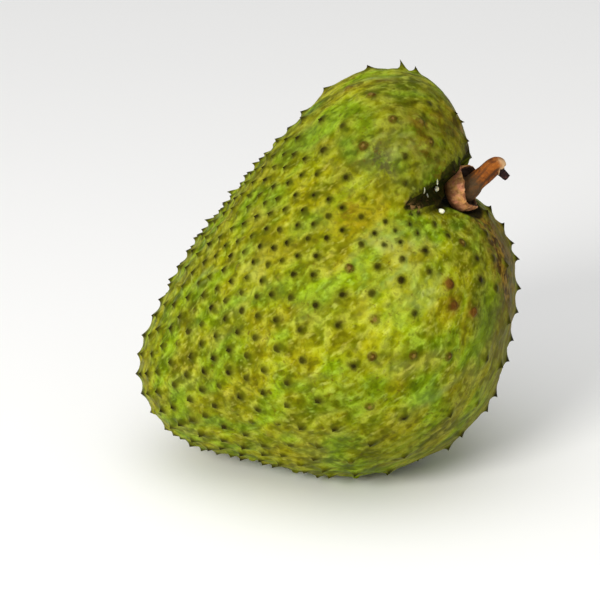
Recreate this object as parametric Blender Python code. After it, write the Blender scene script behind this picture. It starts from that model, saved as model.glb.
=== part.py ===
# Soursop (Annona muricata), whole fruit as picked, lying on its side.
#
# Three pieces: the fruit with its soft spines (one grown piece), the dried
# calyx cup around the foot of the stalk, and the short woody stem.
# Metres, +Z up. The origin is the middle of the small flat spot it rests on.
# The blunt tip points to -X, the stalk to +X, the display side faces -Y.
import math
import bpy
import bmesh
import numpy as np
from mathutils import Matrix, Vector, noise
from mathutils.geometry import delaunay_2d_cdt

# ------------------------------------------------------------------ dimensions
# Lobes of the flesh: x, y, z of the centre and radius. Each pair of lobes is
# wrapped in one cone, and the cones are blended into one skin.
TIP = (-0.0485, 0.000, 0.0377, 0.0233)
UPPER = (0.0149, 0.002, 0.1224, 0.0316)
LOWER = (0.0043, 0.000, 0.0653, 0.0507)
RIGHT = (0.0317, 0.000, 0.0769, 0.0323)
BELLY = (0.0005, 0.000, 0.0497, 0.0516)
BELLY_STRETCH = (1.15, 1.08, 1.0)
WIDE_UPPER, WIDE_LOWER, WIDE_RIGHT = 1.26, 1.10, 1.24   # stretch along Y
CLEFT = (0.0504, 0.000, 0.1052)        # where the two shoulders part
CREASE_DEPTH, CREASE_WIDTH, CREASE_REACH = 0.0072, 0.0034, 0.030
CREASE_SHIFT = 0.0018                  # the groove undercuts the upper shoulder
# Shallow swellings of the skin: x, y, z, height, reach
SWELLS = (
    (-0.022, -0.006, 0.131, 0.0020, 0.017),
    (-0.002, -0.004, 0.153, -0.0024, 0.014),
    (0.034, -0.002, 0.152, 0.0014, 0.013),
    (0.006, 0.056, 0.112, 0.0022, 0.022),
    (-0.040, 0.038, 0.070, 0.0016, 0.018),
    (0.036, 0.052, 0.050, 0.0020, 0.018),
    (0.062, -0.008, 0.052, -0.0014, 0.018),
    (0.050, -0.004, 0.119, 0.0012, 0.010),
    (-0.045, 0.004, 0.100, -0.0018, 0.016),
)
UNDULATION, UNDULATION_SIZE = 0.0004, 0.027
CORE = (-0.0116, 0.000, 0.0722)        # a point inside that sees all the skin

# Stalk seat: a flat round scar at the bottom of the pit between the shoulders
SEAT = (0.0408, -0.0068, 0.1106)
SEAT_AXIS = (0.84, -0.38, 0.38)
PIT_RADIUS, PIT_FLARE, PIT_BLEND = 0.0092, 0.20, 0.0020
SEAT_FLAT = 0.0074
# The fold: a deep cleft that runs forward out of the pit under the upper
# shoulder and dies out on the face. Its middle line: x, y, z, radius
FOLD = ((0.0385, -0.0195, 0.1158, 0.0044), (0.0304, -0.0310, 0.1162, 0.0026),
        (0.0232, -0.0372, 0.1150, 0.0006))
FOLD_BLEND = 0.0016

# Spines
AXIS_TILT = math.radians(21.0)         # the fruit's axis rises to the stalk
SPACING_TIP, SPACING_LOBE, SPACING_LEAST = 0.0074, 0.0160, 0.0056
# Closer spines on both flanks: x, y, z, gain, reach
DENSE_SPOTS = ((-0.016, 0.045, 0.100, 0.0044, 0.030),
               (-0.016, 0.024, 0.124, 0.0054, 0.028))
SPINE_SIDES = 5
LEAN = 0.50                            # how far the tips lean to the distal end
# Spines set out one by one on the display side. They are laid out on a plane
# through the middle of the fruit, seen from SIGHT: across, up, height (mm).
SIGHT_TARGET = (-0.0161, 0.000, 0.0650)
SIGHT_DROP, SIGHT_RANGE = math.radians(20.0), 0.800
SET_OUT = (
    # along the upper-left flank
    (-17.0, 54.0, 3.4), (-20.5, 48.5, 3.0), (-26.0, 42.5, 5.4), (-28.5, 37.5, 3.2),
    (-35.0, 31.0, 4.8), (-39.0, 23.5, 3.4), (-8.0, 61.5, 2.6), (11.0, 82.5, 2.4),
    # over the upper shoulder
    (27.2, 88.3, 3.2), (39.5, 88.0, 6.0), (44.5, 87.0, 4.0), (58.7, 71.6, 2.8),
    (60.6, 68.4, 3.4), (62.7, 61.5, 3.2),
    # down the lower shoulder
    (73.2, 34.6, 3.0), (78.8, 28.3, 3.2), (82.6, 22.4, 3.6), (84.6, 16.4, 3.8), (84.0, 5.2, 3.4),
    (84.5, -4.0, 3.0), (83.0, -15.0, 3.4), (80.5, -23.0, 3.2), (76.0, -36.5, 3.6),
    (71.5, -41.5, 3.2), (61.5, -50.5, 3.4), (57.0, -56.0, 3.2),
    # face of the upper shoulder
    (19.0, 80.5, 1.3), (27.5, 78.0, 1.4), (35.5, 69.0, 1.4), (24.5, 59.0, 1.2),
    (49.0, 75.0, 2.6), (17.0, 66.5, 2.4), (46.0, 68.0, 1.4), (40.0, 55.0, 2.2),
    (18.0, 47.0, 2.2), (2.5, 54.0, 2.8), (11.5, 38.5, 2.8),
    # valley between the shoulders
    (32.5, 30.0, 2.4), (41.5, 29.0, 2.4), (51.0, 29.0, 2.2), (36.0, 26.5, 2.6),
    (28.5, 25.5, 2.4), (44.5, 25.5, 2.6), (38.0, 22.0, 2.8), (32.0, 21.0, 2.6),
    (23.5, 21.5, 2.4), (47.5, 18.5, 2.8), (39.0, 15.5, 3.0), (29.5, 12.5, 3.0),
    (19.0, 12.0, 1.3), (49.0, 10.5, 3.0), (38.5, 7.5, 3.2), (27.5, 2.5, 3.0),
    (16.5, 2.0, 2.6), (43.5, -5.0, 3.4), (28.5, -7.5, 1.4), (15.0, -9.5, 2.8),
    # face of the lower shoulder
    (27.5, -21.5, 1.3), (43.0, -21.0, 1.5), (56.5, -21.5, 1.3), (26.5, -40.5, 1.3),
    (40.0, -44.5, 2.2), (57.0, -43.0, 3.2), (40.0, -59.0, 2.6), (57.0, 6.0, 1.3),
    (58.5, -2.0, 1.3), (66.0, -4.5, 1.3), (56.2, 24.1, 2.2), (61.6, 21.6, 1.4),
    (70.9, 25.2, 2.6), (73.4, 15.9, 2.4), (67.2, 15.6, 2.2), (78.7, 13.4, 2.6),
    (68.7, 7.5, 2.2), (74.8, 4.6, 2.0), (79.2, -7.8, 2.4), (71.0, -22.2, 1.8),
    (20.8, -24.8, 2.0), (49.6, 60.4, 1.4), (40.0, 45.2, 2.0),
)
BROKEN_BELOW = 1.6                     # mm; shorter ones have lost their tips
STUB_HEIGHT = 0.0008                   # what is left of those

# Stem: x, y, z, radius (mm) along its middle, from the seat to the broken end
STEM_PATH = (
    (0.0, 0.0, 0.0, 5.3), (1.26, -0.57, 0.57, 5.3), (2.9, -1.25, 1.1, 5.0),
    (4.9, -1.95, 1.5, 4.55), (6.6, -2.25, 2.7, 4.1), (8.0, -2.2, 4.2, 3.6),
    (9.9, -1.8, 5.8, 3.4), (12.7, -1.2, 8.0, 3.5), (14.6, -0.8, 9.7, 3.5),
    (15.9, -0.5, 10.1, 3.5), (16.7, -0.3, 9.8, 3.0), (17.4, -0.1, 8.0, 1.8),
    (18.4, 0.0, 7.0, 1.65), (19.3, 0.1, 6.1, 1.55), (20.2, 0.2, 5.3, 1.3),
)
STEM_STEPS = 4                         # points per span of the path
CUP_FOOT, CUP_RIM, CUP_DEPTH, CUP_WALL = 0.0071, 0.0083, 0.0076, 0.0012
CUP_HOLE = 0.0058
NOTCH_AT, NOTCH_WIDE, NOTCH_DEEP = 5.15, 0.60, 0.42
CUP_SIDES = 30
GAP = 0.0003

FILL_POINTS = 1350
PIT_POINTS, PIT_REACH, FOLD_REACH = 9000, 0.024, 0.005
FLAT_SIDES = 28


# ------------------------------------------------------------------ skin field
def unit(v):
    v = np.asarray(v, float)
    return v / np.linalg.norm(v)


def smooth_min(a, b, k):
    h = np.maximum(k - np.abs(a - b), 0.0) / k
    return np.minimum(a, b) - h * h * k * 0.25


def smooth_max(a, b, k):
    return -smooth_min(-a, -b, k)


def round_cone(p, a, b, stretch):
    """Distance to the hull of two balls a and b, stretched along Y."""
    q = p / np.array((1.0, stretch, 1.0))
    pa = np.array((a[0], a[1] / stretch, a[2]))
    pb = np.array((b[0], b[1] / stretch, b[2]))
    ba = pb - pa
    l2 = ba @ ba
    rr = a[3] - b[3]
    a2 = l2 - rr * rr
    il2 = 1.0 / l2
    w = q - pa
    y = (w * ba).sum(1)
    z = y - l2
    x2 = ((w * l2 - y[:, None] * ba) ** 2).sum(1)
    y2 = y * y * l2
    z2 = z * z * l2
    k = np.sign(rr) * rr * rr * x2
    d = (np.sqrt(x2 * a2 * il2) + y * rr) * il2 - a[3]
    d = np.where(np.sign(y) * a2 * y2 < k, np.sqrt(x2 + y2) * il2 - a[3], d)
    return np.where(np.sign(z) * a2 * z2 > k, np.sqrt(x2 + z2) * il2 - b[3], d)


def lobes(p):
    upper = round_cone(p, UPPER, TIP, WIDE_UPPER)
    lower = round_cone(p, LOWER, TIP, WIDE_LOWER)
    right = round_cone(p, RIGHT, LOWER, WIDE_RIGHT)
    q = (p - np.array(BELLY[:3])) / np.array(BELLY_STRETCH)
    belly = np.sqrt((q * q).sum(1)) - BELLY[3]
    return upper, smooth_min(smooth_min(lower, right, 0.02), belly, 0.02)


def fold_distance(p):
    return np.minimum(round_cone(p, FOLD[0], FOLD[1], 1.0), round_cone(p, FOLD[1], FOLD[2], 1.0))


def skin(p):
    """Negative inside the flesh, positive outside. The flat spot is cut later."""
    upper, lower = lobes(p)
    reach = np.sqrt(((p - np.array(CLEFT)) ** 2).sum(1))
    f = smooth_min(lower, upper, 0.003 + 0.021 * np.clip((reach - 0.014) / 0.058, 0, 1))
    crease = np.exp(-((upper - lower + CREASE_SHIFT) / CREASE_WIDTH) ** 2)
    f = f + CREASE_DEPTH * crease * np.exp(-(reach / CREASE_REACH) ** 2)
    for x, y, z, height, size in SWELLS:
        d2 = ((p - np.array((x, y, z))) ** 2).sum(1)
        f = f - height * np.exp(-d2 / size ** 2)
    w = p / UNDULATION_SIZE
    f = f - UNDULATION * (np.sin(w[:, 0] + 1.3 * w[:, 1]) * np.sin(1.1 * w[:, 2] + 0.7)
                          + 0.6 * np.sin(2.3 * w[:, 1] - 1.7 * w[:, 2] + 1.9 * w[:, 0]))
    axis = unit(SEAT_AXIS)
    q = p - np.array(SEAT)
    up = q @ axis
    out = np.sqrt(np.maximum((q * q).sum(1) - up * up, 0.0))
    wall = (out - PIT_RADIUS - PIT_FLARE * up) / math.hypot(1.0, PIT_FLARE)
    f = smooth_max(f, -smooth_max(-up, wall, 0.002), PIT_BLEND)
    return smooth_max(f, -fold_distance(p), FOLD_BLEND)


def reach_of(d):
    """Distance from CORE to the skin, or to the flat spot, along unit vectors d."""
    lo = np.full(len(d), 0.010)
    hi = np.full(len(d), 0.130)
    for _ in range(36):
        mid = (lo + hi) / 2
        out = skin(np.array(CORE) + d * mid[:, None]) > 0
        hi = np.where(out, mid, hi)
        lo = np.where(out, lo, mid)
    r = (lo + hi) / 2
    floor = np.where(d[:, 2] < -0.2, -CORE[2] / np.minimum(d[:, 2], -0.2), 1.0)
    return np.minimum(r, floor)


def on_skin(d):
    return np.array(CORE) + d * reach_of(d)[:, None]


def normals(p):
    e = 0.0002
    g = np.stack([skin(p + np.eye(3)[i] * e) - skin(p - np.eye(3)[i] * e)
                  for i in range(3)], 1)
    return g / np.linalg.norm(g, axis=1)[:, None]


def directions(p):
    v = p - np.array(CORE)
    return v / np.linalg.norm(v, axis=1)[:, None]


def spiral(n):
    """Evenly spread unit vectors on a golden-angle spiral."""
    i = np.arange(n) + 0.5
    z = 1 - 2 * i / n
    a = i * math.pi * (3 - math.sqrt(5))
    s = np.sqrt(1 - z * z)
    return np.stack((s * np.cos(a), s * np.sin(a), z), 1)


def flicker(i, k):
    """A repeatable number from 0 to 1 for spine i, channel k."""
    v = math.sin(i * 12.9898 + k * 78.233 + 4.1) * 43758.5453
    return v - math.floor(v)


# ------------------------------------------------------------------ spine layout
def spacing(p):
    """Distance between neighbouring spines: close near the tip, wide on the lobes."""
    axis = np.array((math.cos(AXIS_TILT), 0.0, math.sin(AXIS_TILT)))
    t = (p - np.array(TIP[:3])) @ axis
    t = np.clip((t - 0.008) / 0.072, 0, 1)
    t = t * t * (3 - 2 * t)
    upper, lower = lobes(p)
    valley = np.exp(-((upper - lower) / 0.016) ** 2)
    s = SPACING_TIP + (SPACING_LOBE - SPACING_TIP) * t * (1 - 0.72 * valley)
    for x, y, z, gain, reach in DENSE_SPOTS:
        for side in (-1, 1):
            d2 = ((p - np.array((x, side * y, z))) ** 2).sum(1)
            s = s - gain * np.exp(-d2 / reach ** 2)
    return np.maximum(s, SPACING_LEAST)


def sighted(across, up):
    """Point of the skin seen at (across, up) mm on the layout plane."""
    c, s = math.cos(SIGHT_DROP), math.sin(SIGHT_DROP)
    eye = np.array(SIGHT_TARGET) + SIGHT_RANGE * np.array((0.0, -c, s))
    aim = np.array(SIGHT_TARGET) + np.array((across, up * s, up * c)) / 1000.0
    ray = unit(aim - eye)
    t = np.linspace(SIGHT_RANGE - 0.11, SIGHT_RANGE + 0.06, 681)
    f = skin(eye + ray * t[:, None])
    inside = np.nonzero(f < 0)[0]
    k = inside[0] if len(inside) else int(f.argmin())
    return eye + ray * t[k]


def lay_out_spines():
    """Spine feet and heights: those set out by hand, then the rest by spacing."""
    feet = []
    heights = []
    for across, up, height in SET_OUT:
        d = unit(sighted(across, up) - np.array(CORE))
        feet.append(on_skin(d[None])[0])
        whole = height > BROKEN_BELOW
        heights.append(0.50 * height / 1000.0 if whole else STUB_HEIGHT)
    free = on_skin(spiral(9000))
    axis = np.array((math.cos(AXIS_TILT), 0.0, math.sin(AXIS_TILT)))
    free = free[np.argsort((free - np.array(TIP[:3])) @ axis, kind="stable")]
    gap = spacing(free)
    seat = np.array(SEAT)
    for i, p in enumerate(free):
        if p[2] < 0.0035 or np.linalg.norm(p - seat) < 0.0155:
            continue
        near = ((np.array(feet) - p) ** 2).sum(1).min()
        if near < gap[i] ** 2:
            continue
        n = len(feet)
        feet.append(p)
        grow = (gap[i] - 0.0055) / 0.010
        height = (0.0012 + 0.0006 * grow) * (0.75 + 0.5 * flicker(n, 1))
        if flicker(n, 2) < 0.10:
            height = STUB_HEIGHT
        heights.append(max(height, STUB_HEIGHT))
    return np.array(feet), np.array(heights)


def spine_axes(feet, normal):
    """Directions of the spines: outward, leaning to the distal tip."""
    to_tip = np.array(TIP[:3]) - feet
    along = to_tip - (to_tip * normal).sum(1)[:, None] * normal
    along /= np.maximum(np.linalg.norm(along, axis=1), 1e-6)[:, None]
    lean = normal + LEAN * along
    return lean / np.linalg.norm(lean, axis=1)[:, None]


# ------------------------------------------------------------------ fruit mesh
def flat_spot_ring():
    """Rim of the flat spot, found by bisection along FLAT_SIDES radii."""
    a = 2 * math.pi * np.arange(FLAT_SIDES) / FLAT_SIDES
    v = np.stack((np.cos(a), np.sin(a), 0 * a), 1)
    lo = np.full(FLAT_SIDES, 0.004)
    hi = np.full(FLAT_SIDES, 0.040)
    for _ in range(30):
        mid = (lo + hi) / 2
        out = skin(v * mid[:, None]) > 0
        hi = np.where(out, mid, hi)
        lo = np.where(out, lo, mid)
    return v * lo[:, None]


def seat_ring(radius, count):
    axis = Vector(SEAT_AXIS).normalized()
    side = axis.cross(Vector((0, 0, 1))).normalized()
    top = axis.cross(side)
    return np.array([Vector(SEAT) + radius * (math.cos(a) * side + math.sin(a) * top)
                     for a in (2 * math.pi * i / count for i in range(count))])


def by_pit(p):
    """True near the stalk's pit and along the fold."""
    return (np.linalg.norm(p - np.array(SEAT), axis=1) < PIT_REACH) | (fold_distance(p) < FOLD_REACH)


def fruit_points():
    feet, heights = lay_out_spines()
    normal = normals(feet)
    lean = spine_axes(feet, normal)
    gap = spacing(feet)
    base = np.clip(0.30 * gap, 0.0018, 0.0029)
    base = np.where(heights < 1.01 * STUB_HEIGHT, np.minimum(base, 0.0022), base)
    tips = feet + lean * heights[:, None]
    keep = tips[:, 2] > 0.0008
    feet, heights, normal, lean, base, tips = (
        v[keep] for v in (feet, heights, normal, lean, base, tips))
    rings = []
    for i in range(len(feet)):
        n = Vector(normal[i])
        u = n.orthogonal().normalized()
        w = n.cross(u)
        turn = 2 * math.pi * flicker(i, 3)
        for k in range(SPINE_SIDES):
            a = turn + 2 * math.pi * k / SPINE_SIDES
            rings.append(feet[i] + base[i] * (math.cos(a) * np.array(u) + math.sin(a) * np.array(w)))
    rings = np.array(rings)
    flat = flat_spot_ring()
    keep_ring = (rings[:, 2] > 0.0015)
    scar = np.concatenate((seat_ring(SEAT_FLAT, 14), seat_ring(SEAT_FLAT * 0.45, 7)))
    flat_in = flat * 0.5
    flat_in = flat_in[::2]

    fill = on_skin(spiral(FILL_POINTS))
    pit = on_skin(spiral(PIT_POINTS))
    fill = np.concatenate((fill[~by_pit(fill)], pit[by_pit(pit)]))
    gap_fill = np.sqrt(((fill[:, None] - feet[None]) ** 2).sum(2))
    fill = fill[(gap_fill > base[None] * 1.45).all(1)]
    from_ring = np.sqrt(((fill[:, None] - flat[None]) ** 2).sum(2)).min(1)
    fill = fill[(fill[:, 2] > 0.0006) & (from_ring > 0.0022)]
    to_scar = np.linalg.norm(fill - np.array(SEAT), axis=1)
    fill = fill[to_scar > SEAT_FLAT + 0.0011]

    soft = np.concatenate((fill, rings[keep_ring]))
    soft = on_skin(directions(soft))
    points = np.concatenate((soft, scar, tips, flat, flat_in, np.zeros((1, 3))))
    look = np.concatenate((soft, scar, feet, flat, flat_in, np.zeros((1, 3))))
    return points, directions(look)


def wrap(points, look):
    """Close the points into one skin: Delaunay triangles of their directions,
    spread on a plane from the last point, which then closes the sheet."""
    pole = look[-1]
    x_axis = unit(np.cross(pole, (0.0, 1.0, 0.0)))
    y_axis = np.cross(x_axis, pole)
    rest = look[:-1]
    depth = 1 - rest @ pole
    flat = [Vector((float(a), float(b))) for a, b in
            zip((rest @ x_axis) / depth, (rest @ y_axis) / depth)]
    result = delaunay_2d_cdt(flat, [], [], 0, 1e-9)
    faces = [tuple(f) for f in result[2]]
    used = {}
    for f in faces:
        for i in range(3):
            used[(f[i], f[(i + 1) % 3])] = True
    last = len(points) - 1
    for a, b in list(used):
        if (b, a) not in used:
            faces.append((b, a, last))
    bm = bmesh.new()
    verts = [bm.verts.new(p) for p in points]
    for f in faces:
        bm.faces.new([verts[i] for i in f])
    loose = [v for v in bm.verts if not v.link_faces]
    bmesh.ops.delete(bm, geom=loose, context="VERTS")
    bmesh.ops.recalc_face_normals(bm, faces=bm.faces)
    if bm.calc_volume(signed=True) < 0:
        bmesh.ops.reverse_faces(bm, faces=bm.faces)
    return bm


# ------------------------------------------------------------------ small pieces
def smooth_path(points, steps):
    """Catmull-Rom curve through the points, steps per span."""
    p = [np.array(q, float) for q in points]
    p = [2 * p[0] - p[1]] + p + [2 * p[-1] - p[-2]]
    out = []
    for i in range(1, len(p) - 2):
        for k in range(steps):
            t = k / steps
            out.append(0.5 * (2 * p[i] + (p[i + 1] - p[i - 1]) * t
                              + (2 * p[i - 1] - 5 * p[i] + 4 * p[i + 1] - p[i + 2]) * t * t
                              + (3 * p[i] - p[i - 1] - 3 * p[i + 1] + p[i + 2]) * t ** 3))
    out.append(p[-2])
    return out


def make_stem(collection, material):
    axis = Vector(SEAT_AXIS).normalized()
    curve = bpy.data.curves.new("stem", "CURVE")
    curve.dimensions = "3D"
    curve.bevel_depth = 0.001
    curve.bevel_resolution = 4
    curve.use_fill_caps = True
    path = smooth_path(STEM_PATH, STEM_STEPS)
    spline = curve.splines.new("POLY")
    spline.points.add(len(path) - 1)
    lift = Vector(SEAT) + axis * GAP
    for point, (x, y, z, r) in zip(spline.points, path):
        point.co = (lift.x + x / 1000, lift.y + y / 1000, lift.z + z / 1000, 1.0)
        point.radius = r
    curve.materials.append(material)
    stem = bpy.data.objects.new("stem", curve)
    collection.objects.link(stem)
    return stem


def make_calyx(collection, material):
    """The dried calyx: a turned cup around the stalk's foot, its rim drawn out
    into three lobes, one to each sepal."""
    d, w = CUP_DEPTH, CUP_WALL
    profile = ((CUP_HOLE, 0.0), (CUP_FOOT, 0.0), (CUP_FOOT + 0.0012, 0.25 * d),
               (0.5 * (CUP_FOOT + CUP_RIM) + 0.0010, 0.60 * d), (CUP_RIM, d),
               (CUP_RIM - 0.6 * w, d + 0.3 * w), (CUP_RIM - w, 0.93 * d),
               (CUP_FOOT - 0.0002, 0.72 * d), (CUP_HOLE, 0.64 * d))
    bm = bmesh.new()
    ring = [bm.verts.new((r, 0.0, z)) for r, z in profile]
    edges = [bm.edges.new((ring[i], ring[(i + 1) % len(ring)])) for i in range(len(ring))]
    bmesh.ops.spin(bm, geom=ring + edges, cent=(0, 0, 0), axis=(0, 0, 1),
                   angle=2 * math.pi, steps=CUP_SIDES, use_merge=True, use_duplicate=False)
    bmesh.ops.remove_doubles(bm, verts=bm.verts, dist=0.00001)
    for v in bm.verts:
        a = math.atan2(v.co.y, v.co.x)
        rise = max(v.co.z - 0.25 * d, 0.0) / d
        lobe = 0.5 + 0.5 * math.cos(3 * (a - 0.6))
        turn = (a - NOTCH_AT + math.pi) % (2 * math.pi) - math.pi
        notch = NOTCH_DEEP * math.exp(-(turn / NOTCH_WIDE) ** 2)
        v.co.z += d * rise * (0.34 * lobe - 0.16 - notch)
        out = math.hypot(v.co.x, v.co.y)
        if out > CUP_HOLE + 0.0001:
            grow = 1 + rise * (0.07 * lobe - 0.03)
            v.co.x *= grow
            v.co.y *= grow
    bmesh.ops.recalc_face_normals(bm, faces=bm.faces)
    if bm.calc_volume(signed=True) < 0:
        bmesh.ops.reverse_faces(bm, faces=bm.faces)
    mesh = bpy.data.meshes.new("calyx")
    bm.to_mesh(mesh)
    bm.free()
    mesh.shade_smooth()
    mesh.materials.append(material)
    calyx = bpy.data.objects.new("calyx", mesh)
    axis = Vector(SEAT_AXIS).normalized()
    calyx.rotation_euler = axis.to_track_quat("Z", "Y").to_euler()
    calyx.location = Vector(SEAT) + axis * GAP
    collection.objects.link(calyx)
    return calyx


def finish(name, colour, roughness, metallic=0.0):
    material = bpy.data.materials.new(name)
    material.use_nodes = True
    shader = material.node_tree.nodes["Principled BSDF"]
    shader.inputs["Base Color"].default_value = (*colour, 1.0)
    shader.inputs["Roughness"].default_value = roughness
    shader.inputs["Metallic"].default_value = metallic
    material.diffuse_color = (*colour, 1.0)
    return material


def main():
    for obj in list(bpy.data.objects):
        bpy.data.objects.remove(obj, do_unlink=True)
    collection = bpy.data.collections.new("soursop")
    bpy.context.scene.collection.children.link(collection)

    points, look = fruit_points()
    bm = wrap(points, look)
    mesh = bpy.data.meshes.new("fruit")
    bm.to_mesh(mesh)
    bm.free()
    mesh.materials.append(finish("fruit_skin", (0.22, 0.26, 0.035), 0.55))
    fruit = bpy.data.objects.new("fruit", mesh)
    collection.objects.link(fruit)

    make_stem(collection, finish("stem_bark", (0.20, 0.11, 0.045), 0.75))
    make_calyx(collection, finish("calyx_husk", (0.33, 0.18, 0.075), 0.70))


main()
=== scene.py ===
# Soursop: the looks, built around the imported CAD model.
import math
import bpy
import bmesh
import numpy as np
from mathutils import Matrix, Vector
from mathutils.geometry import delaunay_2d_cdt


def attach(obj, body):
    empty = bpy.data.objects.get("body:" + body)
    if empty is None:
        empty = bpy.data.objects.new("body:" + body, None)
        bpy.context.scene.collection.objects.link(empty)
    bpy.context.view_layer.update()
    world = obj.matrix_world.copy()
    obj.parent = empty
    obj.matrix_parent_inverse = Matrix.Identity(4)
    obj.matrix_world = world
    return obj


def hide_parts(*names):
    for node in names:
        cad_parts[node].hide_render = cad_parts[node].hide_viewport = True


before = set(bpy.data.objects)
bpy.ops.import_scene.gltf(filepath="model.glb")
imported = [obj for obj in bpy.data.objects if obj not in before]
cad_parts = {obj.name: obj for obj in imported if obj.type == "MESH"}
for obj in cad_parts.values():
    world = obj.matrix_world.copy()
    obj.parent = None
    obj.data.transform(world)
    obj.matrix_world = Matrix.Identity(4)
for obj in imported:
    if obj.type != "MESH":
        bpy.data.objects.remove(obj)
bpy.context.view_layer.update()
scene = bpy.context.scene
scene.view_settings.view_transform = "Standard"
scene.view_settings.look = "None"

# =====================================================================  shape
# The same skin as part.py, sampled finely. Metres.
TIP = (-0.0485, 0.000, 0.0377, 0.0233)
UPPER = (0.0149, 0.002, 0.1224, 0.0316)
LOWER = (0.0043, 0.000, 0.0653, 0.0507)
RIGHT = (0.0317, 0.000, 0.0769, 0.0323)
BELLY = (0.0005, 0.000, 0.0497, 0.0516)
BELLY_STRETCH = (1.15, 1.08, 1.0)
WIDE_UPPER, WIDE_LOWER, WIDE_RIGHT = 1.26, 1.10, 1.24
CLEFT = (0.0504, 0.000, 0.1052)
CREASE_DEPTH, CREASE_WIDTH, CREASE_REACH = 0.0072, 0.0034, 0.030
CREASE_SHIFT = 0.0018
SWELLS = (
    (-0.022, -0.006, 0.131, 0.0020, 0.017),
    (-0.002, -0.004, 0.153, -0.0024, 0.014),
    (0.034, -0.002, 0.152, 0.0014, 0.013),
    (0.006, 0.056, 0.112, 0.0022, 0.022),
    (-0.040, 0.038, 0.070, 0.0016, 0.018),
    (0.036, 0.052, 0.050, 0.0020, 0.018),
    (0.062, -0.008, 0.052, -0.0014, 0.018),
    (0.050, -0.004, 0.119, 0.0012, 0.010),
    (-0.045, 0.004, 0.100, -0.0018, 0.016),
)
UNDULATION, UNDULATION_SIZE = 0.0004, 0.027
CORE = (-0.0116, 0.000, 0.0722)
SEAT = (0.0408, -0.0068, 0.1106)
SEAT_AXIS = (0.84, -0.38, 0.38)
PIT_RADIUS, PIT_FLARE, PIT_BLEND = 0.0092, 0.20, 0.0020
FOLD = ((0.0385, -0.0195, 0.1158, 0.0044), (0.0304, -0.0310, 0.1162, 0.0026),
        (0.0232, -0.0372, 0.1150, 0.0006))
FOLD_BLEND = 0.0016
AXIS_TILT = math.radians(21.0)
SPACING_TIP, SPACING_LOBE, SPACING_LEAST = 0.0074, 0.0160, 0.0056
DENSE_SPOTS = ((-0.016, 0.045, 0.100, 0.0044, 0.030),
               (-0.016, 0.024, 0.124, 0.0054, 0.028))
LEAN = 0.50
SIGHT_TARGET = (-0.0161, 0.000, 0.0650)
SIGHT_DROP, SIGHT_RANGE = math.radians(20.0), 0.800
SET_OUT = (
    (-17.0, 54.0, 3.4), (-20.5, 48.5, 3.0), (-26.0, 42.5, 5.4), (-28.5, 37.5, 3.2),
    (-35.0, 31.0, 4.8), (-39.0, 23.5, 3.4), (-8.0, 61.5, 2.6), (11.0, 82.5, 2.4),
    (27.2, 88.3, 3.2), (39.5, 88.0, 6.0), (44.5, 87.0, 4.0), (58.7, 71.6, 2.8),
    (60.6, 68.4, 3.4), (62.7, 61.5, 3.2),
    (73.2, 34.6, 3.0), (78.8, 28.3, 3.2), (82.6, 22.4, 3.6), (84.6, 16.4, 3.8), (84.0, 5.2, 3.4),
    (84.5, -4.0, 3.0), (83.0, -15.0, 3.4), (80.5, -23.0, 3.2), (76.0, -36.5, 3.6),
    (71.5, -41.5, 3.2), (61.5, -50.5, 3.4), (57.0, -56.0, 3.2),
    (19.0, 80.5, 1.3), (27.5, 78.0, 1.4), (35.5, 69.0, 1.4), (24.5, 59.0, 1.2),
    (49.0, 75.0, 2.6), (17.0, 66.5, 2.4), (46.0, 68.0, 1.4), (40.0, 55.0, 2.2),
    (18.0, 47.0, 2.2), (2.5, 54.0, 2.8), (11.5, 38.5, 2.8),
    (32.5, 30.0, 2.4), (41.5, 29.0, 2.4), (51.0, 29.0, 2.2), (36.0, 26.5, 2.6),
    (28.5, 25.5, 2.4), (44.5, 25.5, 2.6), (38.0, 22.0, 2.8), (32.0, 21.0, 2.6),
    (23.5, 21.5, 2.4), (47.5, 18.5, 2.8), (39.0, 15.5, 3.0), (29.5, 12.5, 3.0),
    (19.0, 12.0, 1.3), (49.0, 10.5, 3.0), (38.5, 7.5, 3.2), (27.5, 2.5, 3.0),
    (16.5, 2.0, 2.6), (43.5, -5.0, 3.4), (28.5, -7.5, 1.4), (15.0, -9.5, 2.8),
    (27.5, -21.5, 1.3), (43.0, -21.0, 1.5), (56.5, -21.5, 1.3), (26.5, -40.5, 1.3),
    (40.0, -44.5, 2.2), (57.0, -43.0, 3.2), (40.0, -59.0, 2.6), (57.0, 6.0, 1.3),
    (58.5, -2.0, 1.3), (66.0, -4.5, 1.3), (56.2, 24.1, 2.2), (61.6, 21.6, 1.4),
    (70.9, 25.2, 2.6), (73.4, 15.9, 2.4), (67.2, 15.6, 2.2), (78.7, 13.4, 2.6),
    (68.7, 7.5, 2.2), (74.8, 4.6, 2.0), (79.2, -7.8, 2.4), (71.0, -22.2, 1.8),
    (20.8, -24.8, 2.0), (49.6, 60.4, 1.4), (40.0, 45.2, 2.0),
)
BROKEN_BELOW = 1.6
STUB_HEIGHT = 0.0008
STEM_PATH = (
    (0.0, 0.0, 0.0, 5.3), (1.26, -0.57, 0.57, 5.3), (2.9, -1.25, 1.1, 5.0),
    (4.9, -1.95, 1.5, 4.55), (6.6, -2.25, 2.7, 4.1), (8.0, -2.2, 4.2, 3.6),
    (9.9, -1.8, 5.8, 3.4), (12.7, -1.2, 8.0, 3.5), (14.6, -0.8, 9.7, 3.5),
    (15.9, -0.5, 10.1, 3.5), (16.7, -0.3, 9.8, 3.0), (17.4, -0.1, 8.0, 1.8),
    (18.4, 0.0, 7.0, 1.65), (19.3, 0.1, 6.1, 1.55), (20.2, 0.2, 5.3, 1.3),
)
CUP_FOOT, CUP_RIM, CUP_DEPTH, CUP_WALL = 0.0071, 0.0083, 0.0076, 0.0012
CUP_HOLE = 0.0058
NOTCH_AT, NOTCH_WIDE, NOTCH_DEEP = 5.15, 0.60, 0.42
GAP = 0.0003

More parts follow.
